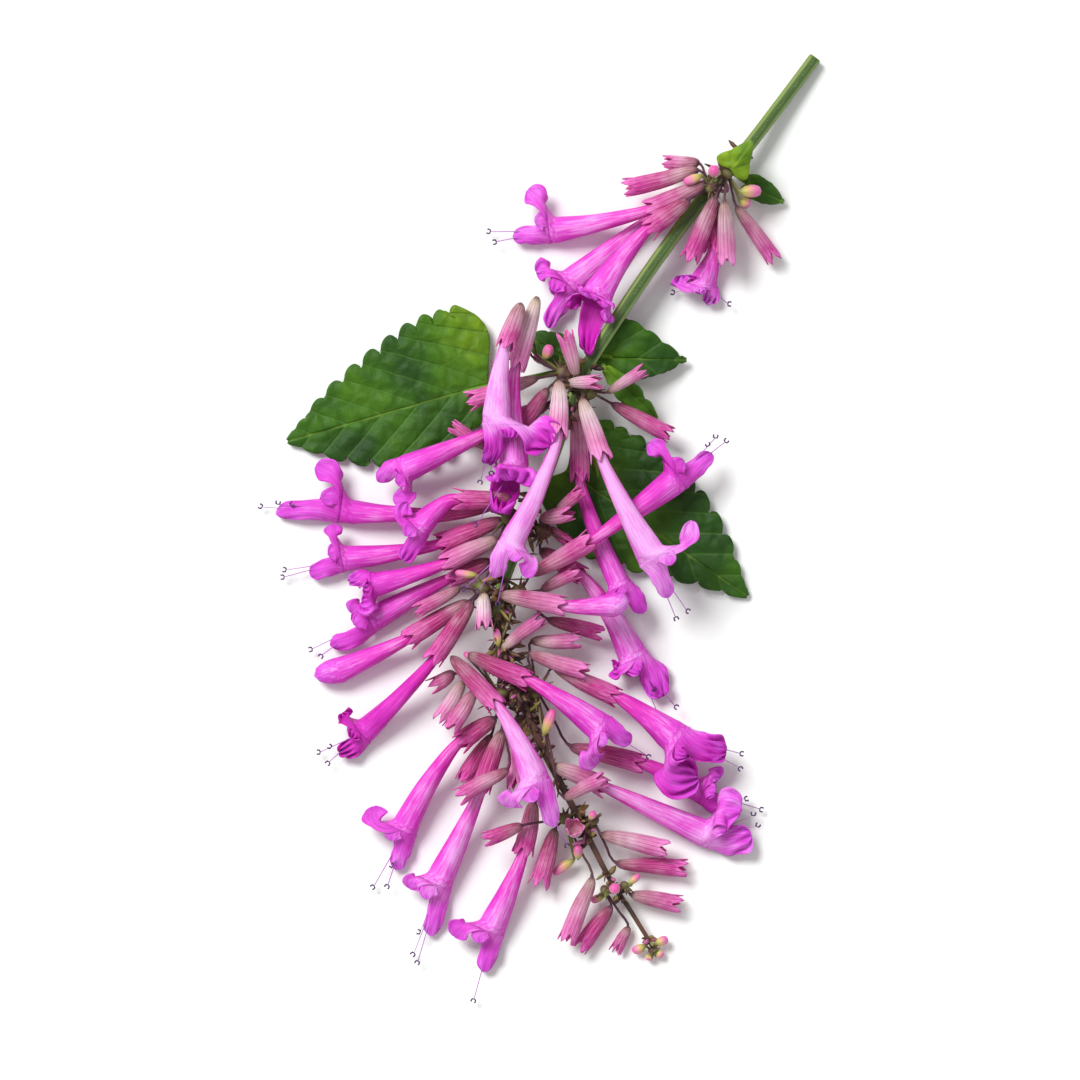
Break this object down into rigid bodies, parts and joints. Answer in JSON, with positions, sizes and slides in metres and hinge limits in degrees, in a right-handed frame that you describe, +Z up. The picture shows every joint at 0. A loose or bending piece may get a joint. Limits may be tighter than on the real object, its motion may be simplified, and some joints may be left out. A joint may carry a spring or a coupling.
{
  "type": "cut flowering stem of texas hummingbird mint",
  "caption": "Cut square stem lying on a surface, with whorls of ribbed calyces, two-lipped tubular pink corollas and scalloped leaves.",
  "frame": {"origin": "on the surface that the stem lies on, under the middle of the bounding box", "axes": "+Z up from the surface; +Y along the stem from the tip of the flower spike towards the cut end; +X to the right of a viewer who looks down with +Y up the page"},
  "size_m": [0.0698, 0.118, 0.0126],
  "materials": {
    "stem": "smooth green stem, satin",
    "leaf": "net-veined green leaf, satin",
    "calyx": "ribbed rosy calyx, finely hairy",
    "corolla": "magenta petal tissue, satin"
  },
  "bodies": {
    "root": {"stem": "stem", "corolla_b1": "corolla", "corolla_b5": "corolla", "corolla_d1": "corolla", "corolla_b10": "corolla", "corolla_c12": "corolla", "corolla_d2": "corolla", "corolla_b2": "corolla", "corolla_m1": "corolla", "corolla_a3": "corolla", "corolla_c8": "corolla", "corolla_c1": "corolla", "corolla_d4": "corolla", "corolla_b11": "corolla", "corolla_m4": "corolla", "corolla_m3": "corolla", "corolla_d6": "corolla", "corolla_d9": "corolla", "corolla_a1": "corolla", "corolla_a2": "corolla", "corolla_a6": "corolla", "corolla_m2": "corolla", "corolla_c5": "corolla", "corolla_c6": "corolla", "corolla_c7": "corolla", "corolla_c14": "corolla", "corolla_d5": "corolla", "corolla_d7": "corolla", "corolla_d8": "corolla", "cyme_a_left": "calyx", "cyme_a_right": "calyx", "cyme_b_left": "calyx", "cyme_b_right": "calyx", "cyme_m_left": "calyx", "cyme_m_right": "calyx", "cyme_c_left": "calyx", "cyme_c_right": "calyx", "cyme_d_left": "calyx", "cyme_d_right": "calyx", "cyme_e_left": "calyx", "cyme_e_right": "calyx", "cyme_f_left": "calyx", "cyme_f_right": "calyx", "cyme_tip": "calyx", "leaf_left": "leaf", "leaf_right_large": "leaf", "leaf_right_pointed": "leaf", "leaf_right_folded": "leaf", "leaf_behind_whorl": "leaf", "bract_leaf_upper": "leaf", "bract_leaf_lower": "leaf"}
  },
  "joints": []
}
